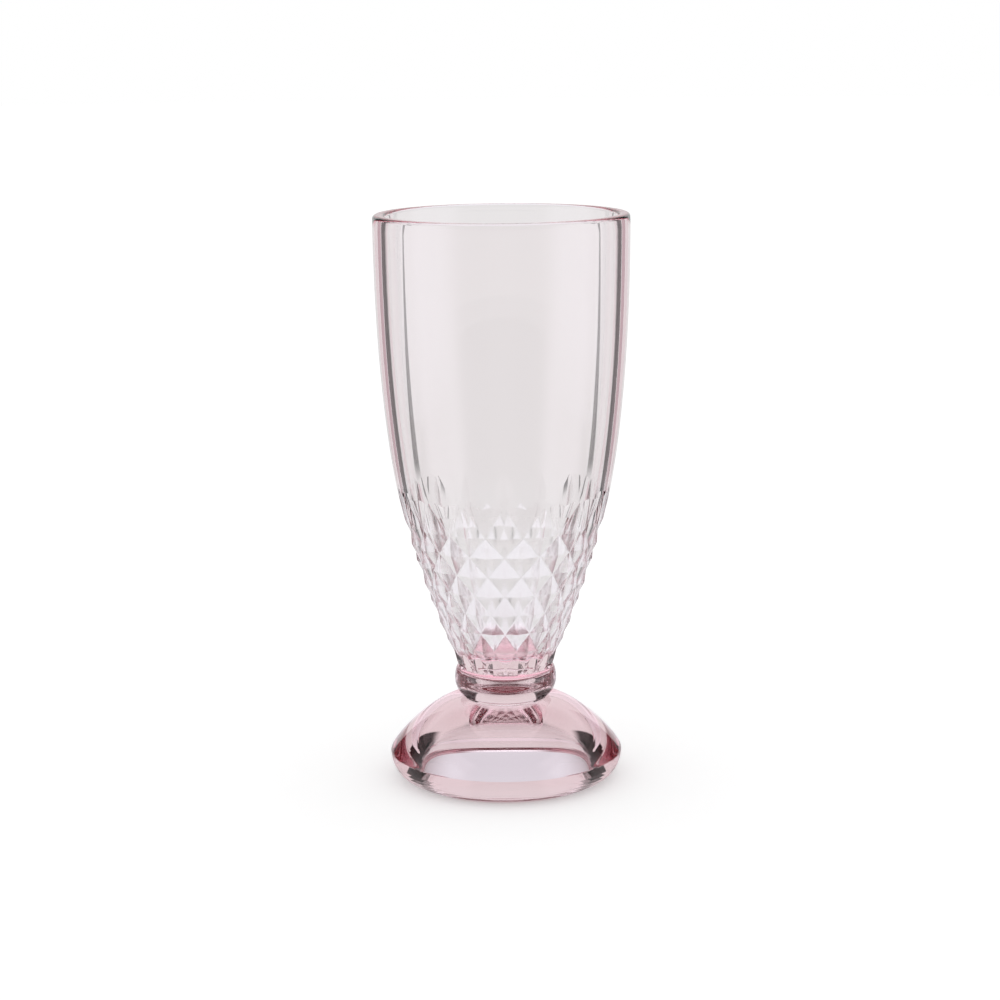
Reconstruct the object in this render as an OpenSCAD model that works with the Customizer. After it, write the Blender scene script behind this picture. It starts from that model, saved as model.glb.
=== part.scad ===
// Footed soft drink glass: a tall tapering bowl with a band of cut diamonds,
// a bulging collar under it, and a domed foot that is hollow underneath.
// The three pieces of glass meet on flat round seams.
// Millimetres, +Z up, origin in the middle of the ring that the glass stands on.

/* [Foot] */
// Height of the foot, from the table to its seam with the collar
foot_h = 27; // [22:0.5:34]
// Diameter of the foot at its widest line
foot_d = 76.6; // [68:0.2:90]
// Height of the widest line above the table
foot_edge_h = 8.7; // [6:0.1:11]
// How far the standing ring lies in from the widest line
edge_undercut = 7.6; // [5:0.1:11]
// Width of the flat ring that the glass stands on
contact_w = 2; // [1.5:0.1:4]
// Glass left between the hollow under the foot and the seam
crown_glass = 8.3; // [5:0.1:10]

/* [Collar] */
// Height of the collar between its two seams
collar_h = 10.2; // [8:0.1:14]
// How far the collar stands out past the base of the bowl
collar_overhang = 1.4; // [0.8:0.1:3]
// How far the lower seam lies in from the widest part of the collar
neck_inset = 2.95; // [1.5:0.05:4]
// Height of the rounding under the widest part of the collar
collar_low_round = 6; // [4:0.1:7]
// Reach of that rounding towards the axis, which the neck cuts short
collar_low_reach = 4.5; // [4.2:0.1:6]

/* [Bowl] */
// Height of the bowl, from its seam with the collar to the rim
bowl_h = 148.8; // [130:0.2:170]
// Outside diameter of the rim
rim_d = 82.5; // [74:0.5:92]
// Diameter of the bowl at its seam with the collar
base_d = 30.7; // [26:0.1:35]
// How far the shoulder above the cut band lies in from the rim
shoulder_inset = 7.2; // [5:0.1:10]
// Lean of the wall at the base, in degrees from upright
base_lean = 24; // [18:0.5:27]
// Lean of the wall at the shoulder, in degrees from upright
shoulder_lean = 11.5; // [8:0.5:14]
// Wall at the rim
rim_wall = 3.9; // [3:0.1:4.5]
// Wall at the shoulder
shoulder_wall = 3.6; // [3:0.1:4.5]
// Wall at the base, before the cuts are made
base_wall = 3.4; // [3:0.1:4.5]
// Solid glass between the inside floor and the seam
base_glass = 4.5; // [3:0.1:8]
// Height of the rounding between the inside floor and the wall
floor_round = 4; // [2:0.5:6]
// Radius of the fire-polished edges of the rim
rim_round = 1.3; // [0.5:0.1:1.4]

/* [Cut band] */
// Number of diamonds round the bowl
diamonds = 16; // [12:1:20]
// Number of half diamonds from the lowest crossing to the top of the band
half_rows = 8; // [6:2:10]
// Height of the top of the cut band above the base of the bowl
band_top_h = 55.8; // [50:0.2:62]
// Height of the lowest crossing above the base of the bowl
band_low_h = 1.8; // [1:0.1:4]
// Depth of the cuts at the top of the band
cut_depth = 1.5; // [0.8:0.1:2]
// Depth of the cuts at the base of the bowl
cut_depth_low = 1.1; // [0.6:0.1:1.6]
// How far the cuts run out above the top of the band
fade_h = 4.5; // [2:0.5:8]

/* [Hidden] */
$fn = 96;

// Points on each long curve and on each small rounding
curve_steps = 20;
round_steps = 8;

// Heights of the two seams and of the rim
collar_z = foot_h;
bowl_z = collar_z + collar_h;
rim_z = bowl_z + bowl_h;

// Radii of the pieces, outside and where they meet
base_r = base_d / 2;
collar_r = base_r + collar_overhang;
neck_r = collar_r - neck_inset;
foot_r = foot_d / 2;
contact_r = foot_r - edge_undercut;
hollow_r = contact_r - contact_w;
hollow_h = foot_h - crown_glass;
rim_r = rim_d / 2;
shoulder_r = rim_r - shoulder_inset;

// Flat top of the collar: the base of the bowl and a narrow ledge round it
seam_ledge = 0.2;

// Heights of the shoulder and of the inside floor
shoulder_z = bowl_z + band_top_h;
floor_z = bowl_z + base_glass;

// Reach of the handles that bend the long curves
base_reach = 18;
shoulder_reach = 18;
upper_reach = 25;
rim_reach = 33;
dome_reach = 10.6;
dome_side_reach = 2;

// Share of a quarter of an ellipse that its curve handles reach
quarter = 0.5523;
// The same share for the inside floor, which is squarer
floor_square = 0.85;

// Spacing of the rows, and how the cuts run out at the top of the band
row_step = (band_top_h - band_low_h) / half_rows;
run_out = 0.25;
flare = 3;
// Sharp tips lie this far inside the smooth outline
tip_inset = 0.1;

function bezier(a, b, c, d, steps) =
    [for (k = [0 : steps])
        let (t = k / steps, s = 1 - t)
        s * s * s * a + 3 * s * s * t * b + 3 * s * t * t * c + t * t * t * d];

// Arc of an ellipse about the point [x, z]
function arc(x, z, rx, rz, from, to) =
    [for (k = [0 : round_steps])
        let (a = from + (to - from) * k / round_steps)
        [x + rx * cos(a), z + rz * sin(a)]];

// Point at a given reach along a wall that leans out from upright
function lean(p, degrees, reach) = p + reach * [tan(degrees), 1];

// All but the first point of a curve that starts where the last one ended
function rest_of(points) = [for (k = [1 : len(points) - 1]) points[k]];

// Smooth outside of the bowl, from the seam up to the rounding of the rim
base_point = [base_r, bowl_z];
shoulder_point = [shoulder_r, shoulder_z];
rim_point = [rim_r, rim_z - rim_round];
band_curve = bezier(
    base_point,
    lean(base_point, base_lean, base_reach),
    lean(shoulder_point, shoulder_lean, -shoulder_reach),
    shoulder_point,
    curve_steps);
wall_curve = bezier(
    shoulder_point,
    lean(shoulder_point, shoulder_lean, upper_reach),
    rim_point - [0, rim_reach],
    rim_point,
    curve_steps);
outside = concat(band_curve, rest_of(wall_curve));

// Inside of the bowl, from the middle of the floor up to the rim
inner_shoulder = shoulder_point - [shoulder_wall, 0];
inner_rim = rim_point - [rim_wall, 0];
floor_corner = lean([base_r - base_wall, bowl_z], base_lean, base_glass + floor_round);
floor_curve = bezier(
    [0, floor_z],
    [floor_corner[0] * floor_square, floor_z],
    lean(floor_corner, base_lean, -floor_round * floor_square),
    floor_corner,
    round_steps);
inner_band_curve = bezier(
    floor_corner,
    lean(floor_corner, base_lean, base_reach),
    lean(inner_shoulder, shoulder_lean, -shoulder_reach),
    inner_shoulder,
    curve_steps);
inner_wall_curve = bezier(
    inner_shoulder,
    lean(inner_shoulder, shoulder_lean, upper_reach),
    inner_rim - [0, rim_reach],
    inner_rim,
    curve_steps);
inside = concat(floor_curve, rest_of(inner_band_curve), rest_of(inner_wall_curve));

// Radius of the smooth outside at a height, carried on straight below the seam
outside_by_height = [for (p = outside) [p[1], p[0]]];
function outside_r(z) =
    z < bowl_z
        ? base_r + (z - bowl_z) * tan(base_lean)
        : lookup(z, outside_by_height);

// Height of a row: the first one, where the cuts have run out, lies above the band
function row_z(row) = shoulder_z - row * row_step + (row > 0 ? 0 : fade_h);

function cut_at(row) =
    cut_depth + (cut_depth_low - cut_depth) * (row - 1) / (half_rows - 1);

// Cuts cross at every second place of the grid, and a tip stands between them
function is_crossing(col, row) = (col + row) % 2 == 0;

function band_r(col, row) =
    outside_r(row_z(row))
    + (row < 0 ? flare
        : row == 0 ? run_out
        : is_crossing(col, row) ? -cut_at(row)
        : -tip_inset);

// Body with the diamonds on it: rows of points from above the band to below the
// seam, with each cell split along the cut, so that every diamond is a pyramid
module cut_body() {
    cols = 2 * diamonds;
    first_row = -1;
    rows = half_rows + 3;
    points = [
        for (n = [0 : rows - 1], col = [0 : cols - 1])
            let (
                row = first_row + n,
                a = -90 + col * 360 / cols,
                r = band_r(col, row))
            [r * cos(a), r * sin(a), row_z(row)]];
    function id(col, n) = n * cols + col % cols;
    cells = [
        for (n = [0 : rows - 2], col = [0 : cols - 1])
            let (
                p = id(col, n),
                q = id(col + 1, n),
                s = id(col, n + 1),
                t = id(col + 1, n + 1))
            each (is_crossing(col, n + first_row + 2)
                ? [[p, q, t], [p, t, s]]
                : [[p, q, s], [q, t, s]])];
    top = [for (col = [cols - 1 : -1 : 0]) id(col, 0)];
    bottom = [for (col = [0 : cols - 1]) id(col, rows - 1)];
    polyhedron(points, concat([top, bottom], cells));
}

// Outline of the smooth blank: outside, rounded rim, and back down the axis
module blank_outline() {
    polygon(concat(
        [[0, bowl_z]],
        outside,
        rest_of(arc(rim_r - rim_round, rim_z - rim_round, rim_round, rim_round, 0, 90)),
        [[0, rim_z]]));
}

// Outline of the drinking space, with the inner edge of the rim rounded too
module drink_outline() {
    polygon(concat(
        inside,
        rest_of(arc(rim_r - rim_wall + rim_round, rim_z - rim_round, rim_round, rim_round, 180, 90)),
        [[0, rim_z]]));
}

module bowl() {
    color("mistyrose")
    difference() {
        intersection() {
            rotate_extrude() blank_outline();
            union() {
                cut_body();
                translate([0, 0, row_z(-0.5)])
                    cylinder(r = rim_r + flare, h = bowl_h);
            }
        }
        rotate_extrude() drink_outline();
    }
}

module collar() {
    top_flat_r = base_r + seam_ledge;
    top_round = collar_h - collar_low_round;
    widest_z = collar_z + collar_low_round;
    low_start = -acos(1 - neck_inset / collar_low_reach);
    color("palevioletred")
    rotate_extrude()
    polygon(concat(
        [[0, collar_z], [neck_r, collar_z]],
        arc(collar_r - collar_low_reach, widest_z, collar_low_reach, collar_low_round, low_start, 0),
        rest_of(arc(top_flat_r, widest_z, collar_r - top_flat_r, top_round, 0, 90)),
        [[0, bowl_z]]));
}

// Outline of the foot: hollow, standing ring, rounded edge, dome and flat seam
module foot_outline() {
    hollow_curve = bezier(
        [0, hollow_h],
        [hollow_r * quarter, hollow_h],
        [hollow_r, hollow_h * quarter],
        [hollow_r, 0],
        curve_steps);
    edge_curve = arc(contact_r, foot_edge_h, edge_undercut, foot_edge_h, -90, 0);
    dome_curve = bezier(
        [foot_r, foot_edge_h],
        [foot_r, foot_edge_h + dome_side_reach],
        [neck_r + dome_reach, foot_h],
        [neck_r, foot_h],
        curve_steps);
    polygon(concat(hollow_curve, edge_curve, rest_of(dome_curve), [[0, foot_h]]));
}

module foot() {
    color("pink")
    rotate_extrude() foot_outline();
}

bowl();
collar();
foot();
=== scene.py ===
"""Footed soft drink glass in pale pink pressed glass: its three pieces, finish, studio and camera."""

import logging
import math
from dataclasses import dataclass, field, replace
from enum import Enum
from functools import cached_property
from typing import Iterable

import bmesh
import bpy
from mathutils import Matrix, Vector
from mathutils.geometry import interpolate_bezier


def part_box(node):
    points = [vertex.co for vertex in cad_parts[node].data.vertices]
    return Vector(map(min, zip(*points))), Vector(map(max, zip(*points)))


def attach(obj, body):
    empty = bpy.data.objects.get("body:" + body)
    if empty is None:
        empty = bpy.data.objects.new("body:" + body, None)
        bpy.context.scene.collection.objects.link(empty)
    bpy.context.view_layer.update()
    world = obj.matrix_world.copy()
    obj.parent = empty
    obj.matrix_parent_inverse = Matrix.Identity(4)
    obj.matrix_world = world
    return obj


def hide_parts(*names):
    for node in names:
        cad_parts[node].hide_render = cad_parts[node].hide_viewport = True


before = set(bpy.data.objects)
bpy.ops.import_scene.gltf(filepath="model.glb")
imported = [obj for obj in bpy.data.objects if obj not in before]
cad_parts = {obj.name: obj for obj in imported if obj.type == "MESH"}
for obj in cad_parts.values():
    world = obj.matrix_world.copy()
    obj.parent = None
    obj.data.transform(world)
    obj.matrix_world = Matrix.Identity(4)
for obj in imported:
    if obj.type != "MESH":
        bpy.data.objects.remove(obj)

log = logging.getLogger("soft_drink_glass")

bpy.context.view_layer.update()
MM = 0.001
IMAGE_SIDE = 1000
MERGE_DISTANCE = 1e-7
WHITE = (1.0, 1.0, 1.0, 1.0)

# Names of the face attributes that mark the fused seams and the less polished faces
FUSED = "fused"
SATIN = "satin"
# Air left between two fused pieces, so that their faces do not lie in each other
SEAM_GAP = 0.02 * MM

Point = tuple[float, float]
Place = tuple[float, float, float]
Colour = tuple[float, float, float]


class Around(Enum):
    """How many flat steps a round shape takes round its axis."""

    SMOOTH = 256
    ROUGH = 64


class Side(Enum):
    """Side of the studio, as the sign of X."""

    LEFT = -1
    RIGHT = 1


class Stance(Enum):
    """How far a card is tipped up, in degrees."""

    LEVEL = 0.0
    UPRIGHT = 90.0


def lean(point: Point, degrees: float, reach: float) -> Point:
    """Finds a point along a wall that leans out from upright.

    Args:
        point: Radius and height of the start.
        degrees: Lean from upright.
        reach: Height to go, negative to go down.

    Returns:
        Radius and height of the point reached.
    """
    return point[0] + reach * math.tan(math.radians(degrees)), point[1] + reach


def polar(azimuth: float, distance: float) -> Point:
    """Finds a point on the floor.

    Args:
        azimuth: Angle to the right of straight behind the glass, in degrees.
        distance: Distance from the axis of the glass.

    Returns:
        X and Y of the point.
    """
    return distance * math.sin(math.radians(azimuth)), distance * math.cos(math.radians(azimuth))


def grey(level: float) -> Colour:
    """Gives the grey of a level."""
    return level, level, level


def eased(share: float) -> float:
    """Gives a share from 0 to 1 a soft start and a soft end."""
    return share * share * (3.0 - 2.0 * share)


def bezier(a: Point, b: Point, c: Point, d: Point, steps: int) -> list[Point]:
    """Samples one Bezier curve.

    Args:
        a: Start of the curve.
        b: Handle at the start.
        c: Handle at the end.
        d: End of the curve.
        steps: Number of straight steps.

    Returns:
        The points of the curve, both ends included.
    """
    return [(p.x, p.y) for p in interpolate_bezier(*(Vector(q) for q in (a, b, c, d)), steps + 1)]


def arc(centre: Point, radii: Point, start: float, end: float, steps: int) -> list[Point]:
    """Samples an arc of an ellipse.

    Args:
        centre: Middle of the ellipse.
        radii: Its half sizes, across and up.
        start: Angle of the first point, in degrees.
        end: Angle of the last point, in degrees.
        steps: Number of straight steps.

    Returns:
        The points of the arc, both ends included.
    """
    angles = [math.radians(start + (end - start) * k / steps) for k in range(steps + 1)]
    return [(centre[0] + radii[0] * math.cos(a), centre[1] + radii[1] * math.sin(a)) for a in angles]


def spun(points: Iterable[Point], around: int) -> bmesh.types.BMesh:
    """Turns an outline of radius and height once round the Z axis.

    Args:
        points: The outline, in order, with both ends on the axis.
        around: Number of steps in the turn.

    Returns:
        A closed mesh with merged seams and poles and outward faces.
    """
    bm = bmesh.new()
    chain = [bm.verts.new((r, 0.0, z)) for r, z in points]
    edges = [bm.edges.new(pair) for pair in zip(chain, chain[1:])]
    bmesh.ops.spin(
        bm,
        geom=chain + edges,
        cent=(0, 0, 0),
        axis=(0, 0, 1),
        dvec=(0, 0, 0),
        angle=math.tau,
        steps=around,
        use_merge=True,
        use_duplicate=False,
    )
    bmesh.ops.remove_doubles(bm, verts=bm.verts[:], dist=MERGE_DISTANCE)
    bmesh.ops.recalc_face_normals(bm, faces=bm.faces[:])
    return bm


def to_object(bm: bmesh.types.BMesh, name: str) -> bpy.types.Object:
    """Writes a bmesh to a new object at the origin.

    Args:
        bm: The mesh, which is freed.
        name: Name of the object and of its mesh.

    Returns:
        The object, linked to the scene.
    """
    mesh = bpy.data.meshes.new(name)
    bm.to_mesh(mesh)
    bm.free()
    piece = bpy.data.objects.new(name, mesh)
    bpy.context.scene.collection.objects.link(piece)
    return piece


@dataclass(frozen=True)
class PressedRipple:
    """Slow swell and fine polish marks of a pressed surface, as a node group that the pieces share."""

    swell_detail: float = 1.0
    swell_roughness: float = 0.3
    marks_scale: float = 900.0
    marks_detail: float = 3.0

    def group(self) -> bpy.types.NodeTree:
        """Builds the node group.

        Returns:
            A group with Swell Scale and Polish inputs and Height and Roughness outputs.
        """
        group = bpy.data.node_groups.new("pressed_ripple", "ShaderNodeTree")
        face = group.interface
        face.new_socket("Swell Scale", in_out="INPUT", socket_type="NodeSocketFloat")
        face.new_socket("Polish", in_out="INPUT", socket_type="NodeSocketFloat")
        face.new_socket("Height", in_out="OUTPUT", socket_type="NodeSocketFloat")
        face.new_socket("Roughness", in_out="OUTPUT", socket_type="NodeSocketFloat")
        nodes, links = group.nodes, group.links
        given = nodes.new("NodeGroupInput")
        put = nodes.new("NodeGroupOutput")
        place = nodes.new("ShaderNodeTexCoord")
        swell = nodes.new("ShaderNodeTexNoise")
        swell.inputs["Detail"].default_value = self.swell_detail
        swell.inputs["Roughness"].default_value = self.swell_roughness
        links.new(place.outputs["Object"], swell.inputs["Vector"])
        links.new(given.outputs["Swell Scale"], swell.inputs["Scale"])
        links.new(swell.outputs["Fac"], put.inputs["Height"])
        marks = nodes.new("ShaderNodeTexNoise")
        marks.inputs["Scale"].default_value = self.marks_scale
        marks.inputs["Detail"].default_value = self.marks_detail
        links.new(place.outputs["Object"], marks.inputs["Vector"])
        rough = nodes.new("ShaderNodeMath")
        rough.operation = "MULTIPLY"
        links.new(marks.outputs["Fac"], rough.inputs[0])
        links.new(given.outputs["Polish"], rough.inputs[1])
        links.new(rough.outputs["Value"], put.inputs["Roughness"])
        return group


@dataclass(frozen=True)
class PinkGlass:
    """Clear glass with a pale pink body colour that deepens with its thickness."""

    body_colour: Colour = (0.75, 0.20, 0.30)
    density: float = 13.0
    index: float = 1.5
    seam_index: float = 1.0005
    polish: float = 0.01
    cut_polish: float = 0.012
    haze: float = 0.16
    swell_scale: float = 45.0
    swell_depth: float = 0.02 * MM

    def material(self, name: str, ripple: bpy.types.NodeTree) -> bpy.types.Material:
        """Builds the glass for one piece.

        Args:
            name: Name of the material.
            ripple: The shared group of surface marks.

        Returns:
            The material.
        """
        mat = bpy.data.materials.new(name)
        mat.use_nodes = True
        nodes, links = mat.node_tree.nodes, mat.node_tree.links
        glass = nodes["Principled BSDF"]
        glass.inputs["Base Color"].default_value = WHITE
        glass.inputs["Transmission Weight"].default_value = 1.0
        glass.inputs["IOR"].default_value = self.index
        marks = nodes.new("ShaderNodeGroup")
        marks.node_tree = ripple
        marks.inputs["Swell Scale"].default_value = self.swell_scale
        marks.inputs["Polish"].default_value = self.polish
        satin = nodes.new("ShaderNodeAttribute")
        satin.attribute_name = SATIN
        rough = nodes.new("ShaderNodeMath")
        rough.operation = "ADD"
        links.new(marks.outputs["Roughness"], rough.inputs[0])
        links.new(satin.outputs["Fac"], rough.inputs[1])
        links.new(rough.outputs["Value"], glass.inputs["Roughness"])
        bump = nodes.new("ShaderNodeBump")
        bump.inputs["Strength"].default_value = 1.0
        bump.inputs["Distance"].default_value = self.swell_depth
        links.new(marks.outputs["Height"], bump.inputs["Height"])
        links.new(bump.outputs["Normal"], glass.inputs["Normal"])
        # Light crosses a fused seam unbent, so the index falls to about that of air there
        seam = nodes.new("ShaderNodeAttribute")
        seam.attribute_name = FUSED
        index = nodes.new("ShaderNodeMapRange")
        index.inputs["To Min"].default_value = self.index
        index.inputs["To Max"].default_value = self.seam_index
        links.new(seam.outputs["Fac"], index.inputs["Value"])
        links.new(index.outputs["Result"], glass.inputs["IOR"])
        body = nodes.new("ShaderNodeVolumeAbsorption")
        body.inputs["Color"].default_value = (*self.body_colour, 1.0)
        body.inputs["Density"].default_value = self.density
        links.new(body.outputs["Volume"], nodes["Material Output"].inputs["Volume"])
        return mat


@dataclass
class GlassPiece:
    """One piece of the glass, which stands for a solid of the same name."""

    node: str
    finish: PinkGlass = field(default_factory=PinkGlass)
    curve_steps: int = 32
    round_steps: int = 10
    sharp_from: float = 8.0
    seam_edge: float = 1.6 * MM
    seam_near: float = 0.01 * MM
    seam_flat: float = 0.999

    @cached_property
    def low(self) -> Vector:
        """Lowest corner of the solid."""
        return Vector(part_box(self.node)[0])

    @cached_property
    def high(self) -> Vector:
        """Highest corner of the solid."""
        return Vector(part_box(self.node)[1])

    def build(self) -> bpy.types.Object:
        """Makes the mesh of the piece."""
        raise NotImplementedError

    def seams(self) -> dict[float, float]:
        """Gives the radius of each fused seam by its height."""
        raise NotImplementedError

    def mark_satin(self, mesh: bpy.types.Mesh) -> None:
        """Marks the less polished faces of the piece, of which there are none here."""

    def mark_fused(self, mesh: bpy.types.Mesh) -> int:
        """Marks the faces on the fused seams.

        Args:
            mesh: The mesh of the piece.

        Returns:
            The number of faces marked.
        """
        fused = mesh.attributes.new(FUSED, "FLOAT", "FACE")
        count = 0
        for z, radius in self.seams().items():
            for face in mesh.polygons:
                level = abs(face.center.z - z) < self.seam_near and abs(face.normal.z) > self.seam_flat
                if level and face.center.xy.length < radius:
                    fused.data[face.index].value = 1.0
                    count += 1
        return count

    def dress(self, piece: bpy.types.Object, ripple: bpy.types.NodeTree) -> int:
        """Shades the piece, marks its faces, gives it its glass and ties it to the frame.

        Args:
            piece: The object that build made.
            ripple: The shared group of surface marks.

        Returns:
            The number of faces on fused seams.
        """
        mesh = piece.data
        mesh.polygons.foreach_set("use_smooth", [True] * len(mesh.polygons))
        mesh.set_sharp_from_angle(angle=math.radians(self.sharp_from))
        count = self.mark_fused(mesh)
        self.mark_satin(mesh)
        mesh.materials.append(self.finish.material(f"pink_glass_{self.node}", ripple))
        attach(piece, "root")
        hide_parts(self.node)
        return count


@dataclass
class Foot(GlassPiece):
    """Domed foot, hollow underneath, on a narrow flat ring."""

    node: str = "foot"
    finish: PinkGlass = field(default_factory=lambda: PinkGlass(density=18.0))
    neck_r: float = 13.8 * MM
    edge_h: float = 8.7 * MM
    edge_undercut: float = 7.6 * MM
    contact_w: float = 2.0 * MM
    crown_glass: float = 8.3 * MM
    dome_reach: float = 10.6 * MM
    dome_side_reach: float = 2.0 * MM
    quarter: float = 0.5523

    def seams(self) -> dict[float, float]:
        """Gives the seam with the collar."""
        return {self.high.z - SEAM_GAP: self.neck_r - self.seam_edge}

    def build(self) -> bpy.types.Object:
        """Spins the outline of hollow, ring, rounded edge and dome.

        Returns:
            The foot.
        """
        foot_r, foot_h = self.high.x, self.high.z - SEAM_GAP
        contact_r = foot_r - self.edge_undercut
        hollow_r = contact_r - self.contact_w
        hollow_h = foot_h - self.crown_glass
        hollow = bezier(
            (0.0, hollow_h),
            (hollow_r * self.quarter, hollow_h),
            (hollow_r, hollow_h * self.quarter),
            (hollow_r, 0.0),
            self.curve_steps,
        )
        edge = arc((contact_r, self.edge_h), (self.edge_undercut, self.edge_h), -90, 0, self.round_steps)
        dome = bezier(
            (foot_r, self.edge_h),
            (foot_r, self.edge_h + self.dome_side_reach),
            (self.neck_r + self.dome_reach, foot_h),
            (self.neck_r, foot_h),
            self.curve_steps,
        )
        top = [(self.neck_r - self.seam_edge, foot_h), (0.0, foot_h)]
        return to_object(spun(hollow + edge + dome[1:] + top, Around.SMOOTH.value), "foot_glass")


@dataclass
class Collar(GlassPiece):
    """Solid bulging ring between the foot and the bowl."""

    node: str = "collar"
    finish: PinkGlass = field(default_factory=lambda: PinkGlass(density=12.0))
    neck_inset: float = 2.95 * MM
    low_round: float = 6.0 * MM
    low_reach: float = 4.5 * MM
    top_inset: float = 1.2 * MM
    seam_r: float = 14.3 * MM

    def seams(self) -> dict[float, float]:
        """Gives the seams with the foot and the bowl."""
        neck_r = self.high.x - self.neck_inset
        return {self.low.z: neck_r - self.seam_edge, self.high.z: self.seam_r}

    def build(self) -> bpy.types.Object:
        """Spins the outline of the two roundings between the flat seams.

        Returns:
            The collar.
        """
        widest, low_z, top_z = self.high.x, self.low.z, self.high.z
        neck_r = widest - self.neck_inset
        flat_r = widest - self.top_inset
        widest_z = low_z + self.low_round
        low_start = -math.degrees(math.acos(1.0 - self.neck_inset / self.low_reach))
        low_centre = (widest - self.low_reach, widest_z)
        under = arc(low_centre, (self.low_reach, self.low_round), low_start, 0, self.curve_steps)
        over = arc((flat_r, widest_z), (self.top_inset, top_z - widest_z), 0, 90, self.curve_steps)[1:]
        seams = self.seams()
        bottom = [(0.0, low_z), (seams[low_z], low_z), (neck_r, low_z)]
        outline = bottom + under + over + [(seams[top_z], top_z), (0.0, top_z)]
        return to_object(spun(outline, Around.SMOOTH.value), "collar_glass")


@dataclass
class Bowl(GlassPiece):
    """Tall drinking bowl with a band of cut diamonds round its lower part."""

    node: str = "bowl"
    base_r: float = 15.35 * MM
    seam_r: float = 14.3 * MM
    shoulder_inset: float = 7.2 * MM
    base_lean: float = 24.0
    shoulder_lean: float = 11.5
    rim_wall: float = 3.9 * MM
    shoulder_wall: float = 3.6 * MM
    base_wall: float = 3.4 * MM
    base_glass: float = 4.5 * MM
    floor_round: float = 4.0 * MM
    floor_square: float = 0.85
    rim_round: float = 1.3 * MM
    base_reach: float = 18.0 * MM
    shoulder_reach: float = 18.0 * MM
    upper_reach: float = 25.0 * MM
    rim_reach: float = 33.0 * MM
    diamonds: int = 16
    half_rows: int = 8
    band_top_h: float = 55.8 * MM
    band_low_h: float = 1.8 * MM
    cut_depth: float = 1.5 * MM
    cut_depth_low: float = 1.1 * MM
    tip_inset: float = 0.1 * MM
    fade_h: float = 4.5 * MM
    run_out: float = 0.25 * MM
    flare: float = 3.0 * MM
    cut_round: float = 0.18 * MM
    cut_round_steps: int = 2
    haze_fade: float = 16.0 * MM
    axis_clear: float = 1.0 * MM

    def seams(self) -> dict[float, float]:
        """Gives the seam with the collar."""
        return {self.low.z + SEAM_GAP: self.seam_r}

    @property
    def shoulder(self) -> Point:
        """Radius and height of the outside at the top of the cut band."""
        return self.high.x - self.shoulder_inset, self.low.z + self.band_top_h

    @property
    def rim(self) -> Point:
        """Radius and height of the outside where the rounding of the rim starts."""
        return self.high.x, self.high.z - self.rim_round

    @cached_property
    def outside(self) -> list[Point]:
        """Smooth outside of the bowl before it is cut.

        Returns:
            Its points from the seam up to the rounding of the rim.
        """
        base = (self.base_r, self.low.z + SEAM_GAP)
        band = bezier(
            base,
            lean(base, self.base_lean, self.base_reach),
            lean(self.shoulder, self.shoulder_lean, -self.shoulder_reach),
            self.shoulder,
            self.curve_steps,
        )
        wall = bezier(
            self.shoulder,
            lean(self.shoulder, self.shoulder_lean, self.upper_reach),
            (self.rim[0], self.rim[1] - self.rim_reach),
            self.rim,
            self.curve_steps,
        )
        return band + wall[1:]

    @cached_property
    def inside(self) -> list[Point]:
        """Inside of the bowl.

        Returns:
            Its points from the middle of the floor up to the rounding of the rim.
        """
        floor_z = self.low.z + self.base_glass
        shoulder = (self.shoulder[0] - self.shoulder_wall, self.shoulder[1])
        rim = (self.rim[0] - self.rim_wall, self.rim[1])
        base = (self.base_r - self.base_wall, self.low.z)
        corner = lean(base, self.base_lean, self.base_glass + self.floor_round)
        floor = bezier(
            (0.0, floor_z),
            (corner[0] * self.floor_square, floor_z),
            lean(corner, self.base_lean, -self.floor_round * self.floor_square),
            corner,
            self.round_steps,
        )
        band = bezier(
            corner,
            lean(corner, self.base_lean, self.base_reach),
            lean(shoulder, self.shoulder_lean, -self.shoulder_reach),
            shoulder,
            self.curve_steps,
        )
        wall = bezier(
            shoulder,
            lean(shoulder, self.shoulder_lean, self.upper_reach),
            (rim[0], rim[1] - self.rim_reach),
            rim,
            self.curve_steps,
        )
        return floor + band[1:] + wall[1:]

    def outside_r(self, z: float) -> float:
        """Finds the radius of the smooth outside at a height, carried on straight below the seam.

        Args:
            z: The height.

        Returns:
            The radius.
        """
        if z < self.low.z:
            return lean((self.base_r, self.low.z), self.base_lean, z - self.low.z)[0]
        for (r0, z0), (r1, z1) in zip(self.outside, self.outside[1:]):
            if z0 <= z <= z1:
                return r0 + (r1 - r0) * (z - z0) / (z1 - z0)
        return self.outside[-1][0]

    def blank(self) -> bpy.types.Object:
        """Spins the smooth bowl before it is cut.

        Returns:
            The blank.
        """
        rr, (rim_r, rim_z) = self.rim_round, self.rim
        inner_r = rim_r - self.rim_wall
        outer_edge = arc((rim_r - rr, rim_z), (rr, rr), 0, 90, self.round_steps)
        inner_edge = arc((inner_r + rr, rim_z), (rr, rr), 90, 180, self.round_steps)
        base = [(0.0, self.low.z + SEAM_GAP), (self.seam_r, self.low.z + SEAM_GAP)]
        outline = base + self.outside + outer_edge[1:] + inner_edge + self.inside[-2::-1]
        return to_object(spun(outline, Around.SMOOTH.value), "bowl_glass")

    def mark_satin(self, mesh: bpy.types.Mesh) -> None:
        """Marks the cut faces, and the hazy inside behind them, which blurs what lies beyond.

        Args:
            mesh: The cut bowl.
        """
        satin = mesh.attributes.new(SATIN, "FLOAT", "FACE")
        top = self.shoulder[1] + self.fade_h
        margin = self.tip_inset / 3
        for face in mesh.polygons:
            z, r = face.center.z, face.center.xy.length
            outward = face.normal.xy.dot(face.center.xy) > 0
            if outward and z < top and r < self.outside_r(z) - margin:
                satin.data[face.index].value = self.finish.cut_polish
            elif not outward and z < top:
                share = min(1.0, (top - z) / self.haze_fade)
                satin.data[face.index].value = self.finish.haze * eased(share)

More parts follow.
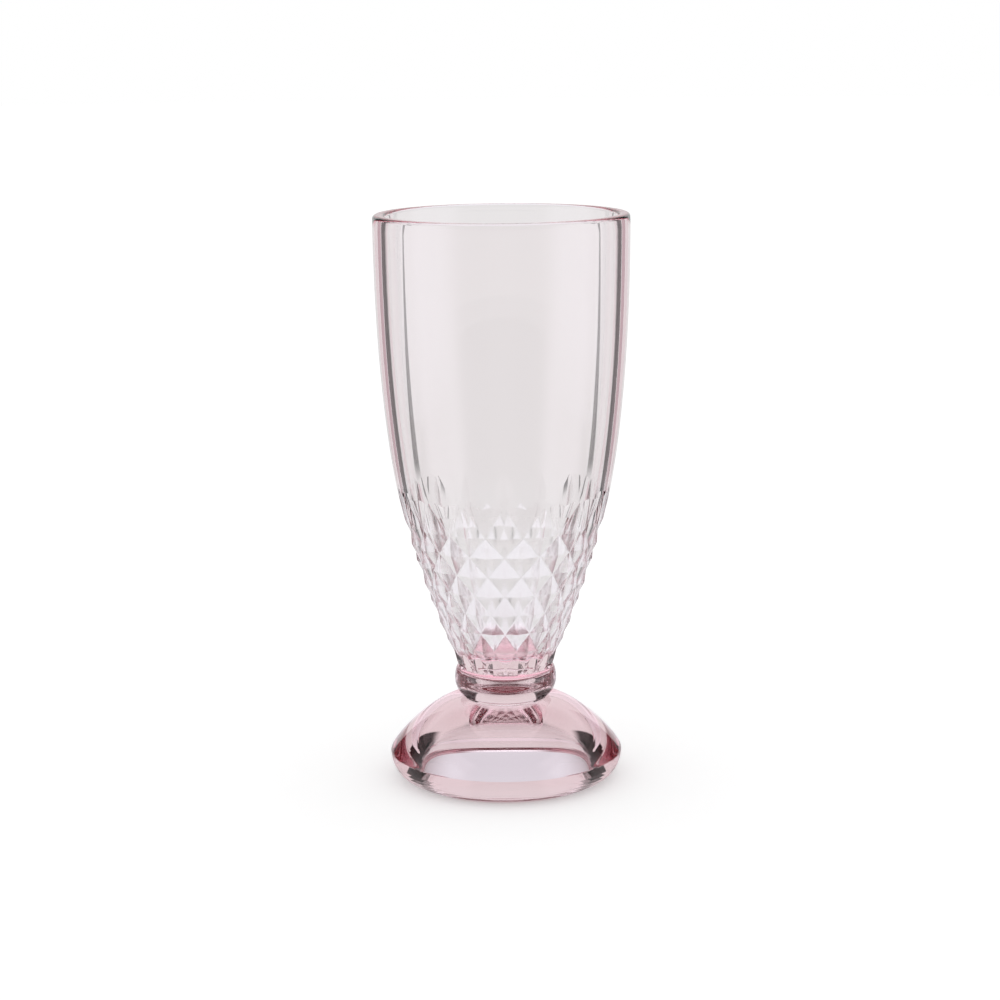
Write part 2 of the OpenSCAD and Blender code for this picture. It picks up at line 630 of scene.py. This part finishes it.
    def cutter(self) -> bpy.types.Object:
        """Makes the body that leaves the diamonds when the blank is cut with it.

        Every second place of its grid is drawn in to a crossing of two cuts, and each cell is split
        along its cut, so that every diamond is a pyramid.

        Returns:
            The body.
        """
        cols = 2 * self.diamonds
        step = (self.band_top_h - self.band_low_h) / self.half_rows
        top = self.shoulder[1]
        heights = [top + self.fade_h] + [top - row * step for row in range(1, self.half_rows + 2)]
        rows = [(self.outside_r(z) - self.tip_inset, z) for z in heights]
        rows[0] = (self.outside_r(heights[0]) + self.run_out, heights[0])
        above = (self.outside_r(heights[0] + step) + self.flare, heights[0] + step)
        over = self.high.z + self.flare
        clear = [(0.0, over), (self.high.x + self.flare, over), above]
        bm = spun(clear + rows + [(0.0, heights[-1])], cols)
        grid: dict[tuple[int, int], bmesh.types.BMVert] = {}
        turn = math.pi / self.diamonds
        for v in bm.verts:
            near = [row for row, z in enumerate(heights) if abs(v.co.z - z) < self.tip_inset]
            if near and v.co.xy.length > self.axis_clear:
                col = round((math.atan2(v.co.y, v.co.x) + math.pi / 2) / turn) % cols
                grid[col, near[0]] = v
        crossings = {place: v for place, v in grid.items() if sum(place) % 2 == 0}
        for row in range(1, self.half_rows + 2):
            share = (row - 1) / (self.half_rows - 1)
            depth = self.cut_depth + (self.cut_depth_low - self.cut_depth) * share
            radius = rows[row][0] + self.tip_inset
            factor = (radius - depth) / rows[row][0]
            cut = [v for (_, at), v in crossings.items() if at == row]
            bmesh.ops.scale(bm, vec=(factor, factor, 1.0), verts=cut)
        for (col, row), v in crossings.items():
            for way in (1, -1):
                other = grid.get(((col + way) % cols, row + 1))
                if other is not None:
                    bmesh.ops.connect_vert_pair(bm, verts=[v, other])
        bmesh.ops.triangulate(bm, faces=[f for f in bm.faces if f.calc_center_median().z > heights[0]])
        bmesh.ops.recalc_face_normals(bm, faces=bm.faces[:])
        deep = set(crossings.values())
        bmesh.ops.bevel(
            bm,
            geom=[e for e in bm.edges if deep.issuperset(e.verts)],
            offset=self.cut_round,
            offset_type="OFFSET",
            segments=self.cut_round_steps,
            profile=0.5,
            affect="EDGES",
            material=-1,
            clamp_overlap=True,
        )
        bmesh.ops.recalc_face_normals(bm, faces=bm.faces[:])
        return to_object(bm, "bowl_cutter")

    def build(self) -> bpy.types.Object:
        """Cuts the diamonds into the blank.

        Returns:
            The bowl.
        """
        bowl, cutter = self.blank(), self.cutter()
        cut = bowl.modifiers.new("diamonds", "BOOLEAN")
        cut.operation = "INTERSECT"
        cut.solver = "EXACT"
        cut.object = cutter
        whole = bowl.evaluated_get(bpy.context.evaluated_depsgraph_get())
        mesh = bpy.data.meshes.new_from_object(whole)
        bowl.modifiers.clear()
        old, bowl.data = bowl.data, mesh
        mesh.name = "bowl_glass"
        bpy.data.meshes.remove(old)
        spare = cutter.data
        bpy.data.objects.remove(cutter)
        bpy.data.meshes.remove(spare)
        return bowl


@dataclass(frozen=True, kw_only=True)
class Card:
    """Glowing or dark card with soft edges that only shows in and through the glass.

    Attributes:
        place: Its middle, before it is carried round the glass.
        size: Its width and height.
        level: Its brightness, as a colour.
        soft: Shares of its half width and half height over which it fades out.
        stance: Whether it lies level or stands upright.
        azimuth: How far it is carried round the glass to the right, in degrees.
        spin: Turn about its own middle, in radians.
        taper: Width of its near or low end as a share of its width.
        steps: Cells of its grid, across and along.
    """

    place: Place
    size: Point
    level: Colour
    soft: Point
    stance: Stance = Stance.LEVEL
    azimuth: float = 0.0
    spin: float = 0.0
    taper: float = 1.0
    steps: tuple[int, int] = (4, 24)

    def matrix(self) -> Matrix:
        """Finds where the card is, how it is turned and how large it is.

        Returns:
            The matrix for a sheet two units wide and high.
        """
        carry = Matrix.Rotation(-math.radians(self.azimuth), 4, "Z")
        tip = Matrix.Rotation(math.radians(self.stance.value), 4, "X")
        turn = Matrix.Rotation(self.spin, 4, "Z")
        scale = Matrix.Diagonal((self.size[0] / 2, self.size[1] / 2, 1.0, 1.0))
        return carry @ Matrix.Translation(self.place) @ turn @ tip @ scale

    def sheet(self, name: str) -> bpy.types.Object:
        """Makes the flat sheet of the card, two units wide and high.

        Args:
            name: Name of the card.

        Returns:
            The sheet, tapered and with a UV map.
        """
        bm = bmesh.new()
        bm.loops.layers.uv.new("card")
        across, along = self.steps
        bmesh.ops.create_grid(bm, x_segments=across, y_segments=along, size=1.0, calc_uvs=True)
        for v in bm.verts:
            v.co.x *= self.taper + (1.0 - self.taper) * (v.co.y + 1.0) / 2
        return to_object(bm, name)

    def material(self, name: str) -> bpy.types.Material:
        """Builds the glow of the card, which fades out to clear at its edges.

        Args:
            name: Name of the material.

        Returns:
            The material.
        """
        mat = bpy.data.materials.new(name)
        mat.use_nodes = True
        nodes, links = mat.node_tree.nodes, mat.node_tree.links
        nodes.remove(nodes["Principled BSDF"])
        where = nodes.new("ShaderNodeTexCoord")
        split = nodes.new("ShaderNodeSeparateXYZ")
        links.new(where.outputs["UV"], split.inputs["Vector"])
        mask = nodes.new("ShaderNodeMath")
        mask.operation = "MULTIPLY"
        for k, axis in enumerate("XY"):
            off = nodes.new("ShaderNodeMath")
            off.operation = "SUBTRACT"
            off.inputs[1].default_value = 0.5
            links.new(split.outputs[axis], off.inputs[0])
            away = nodes.new("ShaderNodeMath")
            away.operation = "ABSOLUTE"
            links.new(off.outputs["Value"], away.inputs[0])
            fade = nodes.new("ShaderNodeMapRange")
            fade.interpolation_type = "SMOOTHSTEP"
            fade.inputs["From Min"].default_value = (1.0 - self.soft[k]) / 2
            fade.inputs["From Max"].default_value = 0.5
            fade.inputs["To Min"].default_value = 1.0
            fade.inputs["To Max"].default_value = 0.0
            links.new(away.outputs["Value"], fade.inputs["Value"])
            links.new(fade.outputs["Result"], mask.inputs[k])
        glow = nodes.new("ShaderNodeEmission")
        glow.inputs["Color"].default_value = (*self.level, 1.0)
        clear = nodes.new("ShaderNodeBsdfTransparent")
        mix = nodes.new("ShaderNodeMixShader")
        links.new(mask.outputs["Value"], mix.inputs["Fac"])
        links.new(clear.outputs["BSDF"], mix.inputs[1])
        links.new(glow.outputs["Emission"], mix.inputs[2])
        links.new(mix.outputs["Shader"], nodes["Material Output"].inputs["Surface"])
        return mat

    def hang(self, name: str) -> None:
        """Puts the card in the studio.

        Args:
            name: Name of the card.
        """
        card = self.sheet(name)
        card.matrix_world = self.matrix()
        card.data.materials.append(self.material(name))
        card.visible_camera = False
        card.visible_diffuse = False
        card.visible_shadow = False

    def hang_aside(self, name: str, side: Side) -> None:
        """Puts the card to one side of the glass.

        Args:
            name: Name of the card, before that of its side.
            side: The side.
        """
        replace(self, azimuth=side.value * self.azimuth).hang(f"{name}_{side.name.lower()}")


@dataclass(frozen=True, kw_only=True)
class Runner:
    """Long narrow card that lies on the floor behind the glass, once on each side.

    Attributes:
        start: Middle of its near end, on the right.
        end: Middle of its far end, on the right.
        widths: Its widths at the near and the far end.
        level: Its brightness, as a colour.
        lift: Its height above the floor.
        soft: Shares of its half width and half length over which it fades out.
    """

    start: Point
    end: Point
    widths: Point
    level: Colour
    lift: float = 1.0 * MM
    soft: Point = (0.25, 0.1)

    def lay(self, name: str, side: Side) -> None:
        """Lays the card on one side.

        Args:
            name: Name of the card, before that of its side.
            side: The side.
        """
        start, end = (Vector((side.value * x, y)) for x, y in (self.start, self.end))
        way, middle = end - start, (start + end) / 2
        near_w, far_w = self.widths
        Card(
            place=(middle.x, middle.y, self.lift),
            size=(far_w, way.length),
            level=self.level,
            soft=self.soft,
            spin=math.atan2(way.y, way.x) - math.pi / 2,
            taper=near_w / far_w,
        ).hang(f"{name}_{side.name.lower()}")


@dataclass
class Studio:
    """Pale floor, white surroundings and the cards that draw lights, darks and pinks in the glass."""

    floor_r: float = 6.0
    floor_drop: float = 0.2 * MM
    floor_colour: Colour = (0.9, 0.9, 0.9)
    floor_roughness: float = 0.9
    floor_lift: float = 0.35
    floor_lift_in_glass: float = 0.10
    surround: float = 0.80
    surround_in_glass: float = 0.35

    # Pale lilac patch under the foot, which shows in its lower part
    caustic: Card = Card(
        place=(0.0, 0.012, -0.1 * MM),
        size=(0.066, 0.078),
        level=(0.79, 0.80, 0.86),
        soft=(0.5, 0.4),
    )
    # Bright patch at the back of the foot, for the upper band of the collar
    glow: Card = Card(
        place=(0.0, 0.0465, 0.6 * MM),
        size=(0.09, 0.039),
        level=(1.35, 1.35, 1.45),
        soft=(0.4, 0.3),
    )
    # Painted pool of light on the floor further behind, for the upper faces of the diamonds
    pool: Card = Card(
        place=(0.0, 0.19, 0.5 * MM),
        size=(0.60, 0.38),
        level=(0.96, 0.96, 1.0),
        soft=(0.5, 0.5),
    )
    # Pale wall far behind, seen through the bowl
    backdrop: Card = Card(
        place=(0.0, 5.5, 1.46),
        size=(12.3, 8.7),
        level=grey(0.87),
        soft=(0.2, 0.45),
        stance=Stance.UPRIGHT,
    )
    # Dark pinks overhead and in front, for the red line in the collar
    ceiling: Card = Card(
        place=(0.0, 0.0, 1.1),
        size=(2.2, 2.2),
        level=(0.09, 0.02, 0.03),
        soft=(0.35, 0.35),
    )
    # Painted pink shadow of the glass on the floor in front
    shade: Card = Card(
        place=(0.0, -0.0685, 0.25 * MM),
        size=(0.20, 0.093),
        level=(0.16, 0.015, 0.03),
        soft=(0.3, 0.2),
    )
    # Upright lamps beside the glass, for the pale streaks on its wall
    softbox: Card = Card(
        place=(0.0, 0.42, 0.25),
        size=(0.66, 0.60),
        level=(1.258, 1.275, 1.343),
        soft=(0.6, 0.5),
        stance=Stance.UPRIGHT,
        azimuth=102.0,
    )
    # Dark panels far behind on each side, for the dark wedges in the foot
    flag: Card = Card(
        place=(0.0, 5.0, 0.5),
        size=(2.9, 5.2),
        level=grey(0.01),
        soft=(0.15, 0.45),
        stance=Stance.UPRIGHT,
        azimuth=43.5,
    )
    # Cards on the floor for the dark, the thin grey and the pink line along the edges of the wall
    runner: Runner = Runner(
        start=polar(42.5, 0.10),
        end=polar(42.5, 4.6),
        widths=(0.022, 0.97),
        level=grey(0.01),
    )
    strip: Runner = Runner(
        start=(0.124, 0.44),
        end=(0.405, 2.02),
        widths=(0.030, 0.018),
        level=grey(0.20),
    )
    # Painted pink shadow of the glass on the floor, for the pink line along the edges of the wall
    pink_shadow: Runner = Runner(
        start=(0.13, 0.22),
        end=(2.60, 4.40),
        widths=(0.05, 1.00),
        level=(0.66, 0.49, 0.53),
        lift=0.8 * MM,
    )

    def floor(self) -> None:
        """Makes the floor, which is lit and shadowed and is lifted to white where the camera sees it."""
        bm = bmesh.new()
        bmesh.ops.create_circle(bm, cap_ends=True, segments=Around.ROUGH.value, radius=self.floor_r)
        bmesh.ops.translate(bm, vec=(0, 0, -self.floor_drop), verts=bm.verts[:])
        floor = to_object(bm, "floor")
        mat = bpy.data.materials.new("floor_white")
        mat.use_nodes = True
        nodes, links = mat.node_tree.nodes, mat.node_tree.links
        surface = nodes["Principled BSDF"]
        surface.inputs["Base Color"].default_value = (*self.floor_colour, 1.0)
        surface.inputs["Roughness"].default_value = self.floor_roughness
        surface.inputs["Specular IOR Level"].default_value = 0.0
        surface.inputs["Emission Color"].default_value = WHITE
        path = nodes.new("ShaderNodeLightPath")
        by_glass = nodes.new("ShaderNodeMath")
        by_glass.operation = "MAXIMUM"
        links.new(path.outputs["Is Glossy Ray"], by_glass.inputs[0])
        links.new(path.outputs["Is Transmission Ray"], by_glass.inputs[1])
        in_glass = nodes.new("ShaderNodeMath")
        in_glass.operation = "MULTIPLY"
        in_glass.inputs[1].default_value = self.floor_lift_in_glass
        links.new(by_glass.outputs["Value"], in_glass.inputs[0])
        lift = nodes.new("ShaderNodeMapRange")
        lift.inputs["To Max"].default_value = self.floor_lift
        links.new(in_glass.outputs["Value"], lift.inputs["To Min"])
        links.new(path.outputs["Is Camera Ray"], lift.inputs["Value"])
        links.new(lift.outputs["Result"], surface.inputs["Emission Strength"])
        floor.data.materials.append(mat)

    def world(self) -> None:
        """Makes the surroundings: white to the camera, and darker as light on the floor and in the glass."""
        world = bpy.data.worlds.new("white_surround")
        world.use_nodes = True
        bpy.context.scene.world = world
        nodes, links = world.node_tree.nodes, world.node_tree.links
        path = nodes.new("ShaderNodeLightPath")
        lit = nodes.new("ShaderNodeMapRange")
        lit.inputs["To Min"].default_value = self.surround_in_glass
        lit.inputs["To Max"].default_value = self.surround
        links.new(path.outputs["Is Diffuse Ray"], lit.inputs["Value"])
        level = nodes.new("ShaderNodeMapRange")
        level.inputs["To Max"].default_value = 1.0
        links.new(lit.outputs["Result"], level.inputs["To Min"])
        links.new(path.outputs["Is Camera Ray"], level.inputs["Value"])
        back = nodes["Background"]
        back.inputs["Color"].default_value = WHITE
        links.new(level.outputs["Result"], back.inputs["Strength"])

    def build(self) -> None:
        """Sets up the floor, the surroundings and the cards."""
        self.floor()
        self.world()
        self.caustic.hang("caustic")
        self.glow.hang("glow")
        self.pool.hang("pool")
        self.backdrop.hang("backdrop")
        self.ceiling.hang("dark_ceiling")
        self.shade.hang("pink_shade")
        for side in Side:
            self.runner.lay("runner", side)
            self.strip.lay("strip", side)
            self.softbox.hang_aside("softbox", side)
            self.pink_shadow.lay("pink_shadow", side)
            self.flag.hang_aside("flag", side)


@dataclass
class Viewpoint:
    """Camera at the height and distance from which the photograph was taken."""

    distance: float = 792.0 * MM
    height: float = 251.1 * MM
    pitch: float = 11.32
    roll: float = 0.56
    focal_px: float = 2473.0
    axis_px: float = 4.0
    sensor: float = 36.0
    clip_start: float = 10.0 * MM

    def build(self) -> None:
        """Sets up the camera."""
        data = bpy.data.cameras.new("camera")
        data.sensor_width = self.sensor
        data.lens = self.focal_px / IMAGE_SIDE * self.sensor
        data.clip_start = self.clip_start
        data.dof.use_dof = False
        camera = bpy.data.objects.new("camera", data)
        yaw = math.atan(self.axis_px / self.focal_px)
        turn = (
            Matrix.Rotation(yaw, 4, "Z")
            @ Matrix.Rotation(math.radians(90 - self.pitch), 4, "X")
            @ Matrix.Rotation(math.radians(-self.roll), 4, "Z")
        )
        camera.matrix_world = Matrix.Translation((0, -self.distance, self.height)) @ turn
        bpy.context.scene.collection.objects.link(camera)
        bpy.context.scene.camera = camera


@dataclass(frozen=True)
class LightPaths:
    """How many turns light may take, which is many in thick glass."""

    glass_turns: int = 40
    clear_turns: int = 16

    def build(self) -> None:
        """Sets the turns, and keeps colours as they are written."""
        scene = bpy.context.scene
        scene.view_settings.view_transform = "Standard"
        scene.cycles.max_bounces = self.glass_turns
        scene.cycles.transmission_bounces = self.glass_turns
        scene.cycles.glossy_bounces = self.glass_turns
        scene.cycles.transparent_max_bounces = self.clear_turns


def main() -> None:
    """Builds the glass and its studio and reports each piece."""
    logging.basicConfig(level=logging.INFO, format="%(name)s: %(message)s")
    LightPaths().build()
    Viewpoint().build()
    Studio().build()
    ripple = PressedRipple().group()
    for part in (Foot(), Collar(), Bowl()):
        piece = part.build()
        fused = part.dress(piece, ripple)
        log.info("%s: %d faces, %d on fused seams", piece.name, len(piece.data.polygons), fused)


if __name__ == "__main__":
    main()
